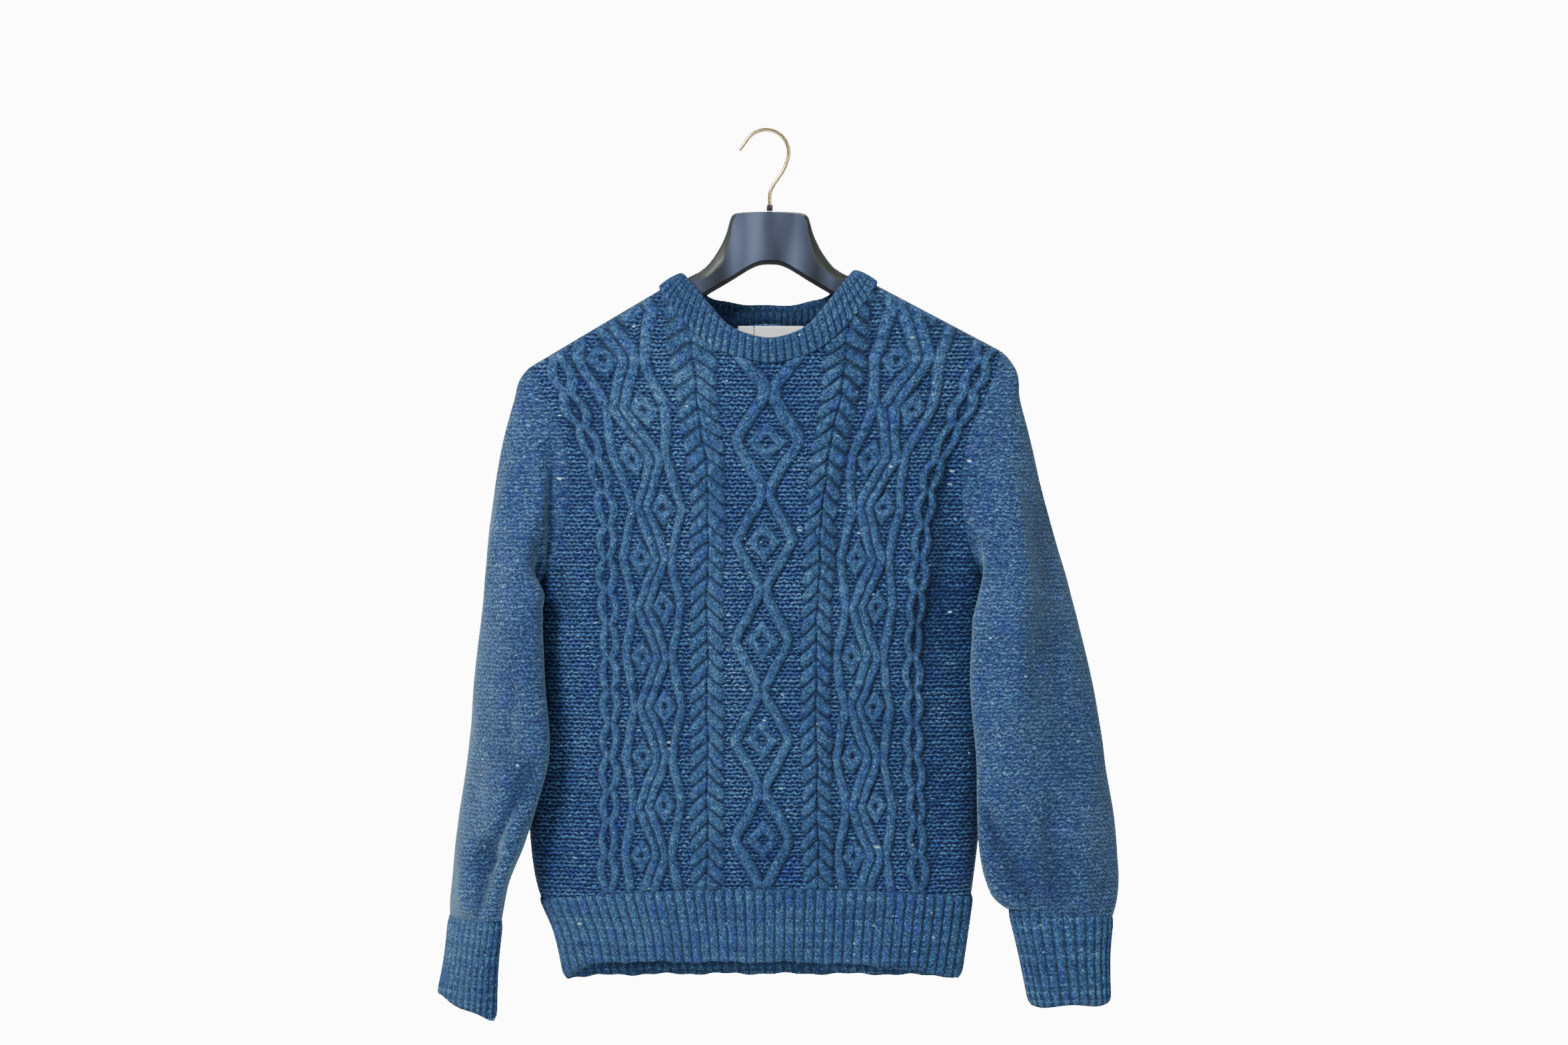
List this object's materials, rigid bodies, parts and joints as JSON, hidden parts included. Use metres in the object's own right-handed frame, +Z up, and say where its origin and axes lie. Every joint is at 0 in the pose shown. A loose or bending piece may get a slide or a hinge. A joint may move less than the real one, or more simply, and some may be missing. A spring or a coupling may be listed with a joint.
{
  "type": "aran sweater on a hanger",
  "caption": "Crew-neck cable-knit sweater of tweed wool, hung by its shoulders on a moulded hanger with a wire hook; open neck, cuffs and ribbed hem.",
  "frame": {"origin": "seat of the hanger's hook: the underside of the wire at its top, where a rail would carry it", "axes": "+Z up, -Y out of the garment's front, +X to the picture's right, which is the wearer's left"},
  "size_m": [0.6414, 0.117, 0.8317],
  "materials": {
    "wool": "denim-blue tweed wool, cable and reverse stockinette knit",
    "label": "blank woven ribbon",
    "hanger": "glossy black moulding with an olive bevel",
    "ferrule": "dark grey, knurled",
    "hook": "pale bright wire"
  },
  "bodies": {
    "root": {"front": "wool", "back": "wool", "sleeve_right": "wool", "sleeve_left": "wool", "cuff_right": "wool", "cuff_left": "wool", "welt_front": "wool", "welt_back": "wool", "neckband": "wool", "neck_label": "label", "hanger_body": "hanger", "hanger_ferrule": "ferrule", "hanger_hook": "hook"}
  },
  "joints": []
}
